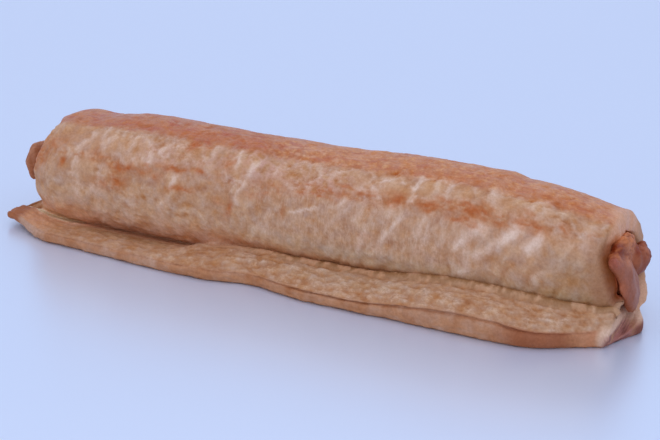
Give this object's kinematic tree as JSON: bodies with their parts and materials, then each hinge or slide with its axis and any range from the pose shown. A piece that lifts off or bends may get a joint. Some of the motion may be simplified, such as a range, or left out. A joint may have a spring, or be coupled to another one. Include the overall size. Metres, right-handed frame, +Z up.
{
  "type": "cheese pastry",
  "caption": "Baked cheese pastry stick: puff pastry folded round a cheese filling, with a pressed flange along its front and open cut ends.",
  "frame": {"origin": "middle of the footprint, on the table", "axes": "+X along the stick, from its pointed flange tip to the end that shows the filling; -Y towards the flange at the front; +Z up"},
  "size_m": [0.173, 0.045, 0.0318],
  "materials": {
    "pastry": "baked, slightly glossy puff pastry",
    "filling": "browned cheese filling"
  },
  "bodies": {
    "root": {"pastry": "pastry", "filling": "filling"}
  },
  "joints": []
}
